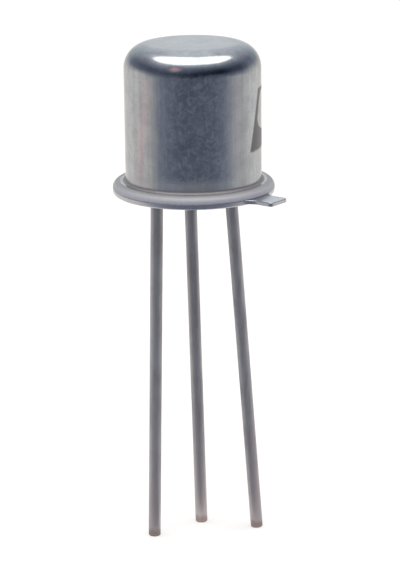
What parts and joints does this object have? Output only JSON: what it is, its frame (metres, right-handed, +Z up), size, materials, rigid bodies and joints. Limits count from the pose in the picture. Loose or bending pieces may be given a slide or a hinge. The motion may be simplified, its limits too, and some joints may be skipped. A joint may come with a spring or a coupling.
{
  "type": "metal can transistor",
  "caption": "Small transistor in a round welded metal can with a flanged header, an index tab and splayed wire leads.",
  "frame": {"origin": "centre of the seating plane, which is the underside of the header's flange", "axes": "+Z up the can's axis to its crown, +X through the emitter lead where it leaves the header, +Y through the base lead, -X through the collector lead; the index tab lies midway between +X and -Y"},
  "size_m": [0.0057, 0.0056, 0.0178],
  "materials": {
    "can_metal": "satin nickel plate with fine scuffs",
    "header_metal": "satin nickel plate",
    "lead_metal": "dull tinned wire",
    "seal_glass": "fused, glossy",
    "gold": "plain gold",
    "silicon": "polished"
  },
  "bodies": {
    "root": {"can": "can_metal", "header_eyelet": "header_metal", "glass_seal": "seal_glass", "emitter_lead": "lead_metal", "base_lead": "lead_metal", "collector_lead": "lead_metal", "die_preform": "gold", "die": "silicon", "emitter_wire": "gold", "base_wire": "gold"}
  },
  "joints": []
}
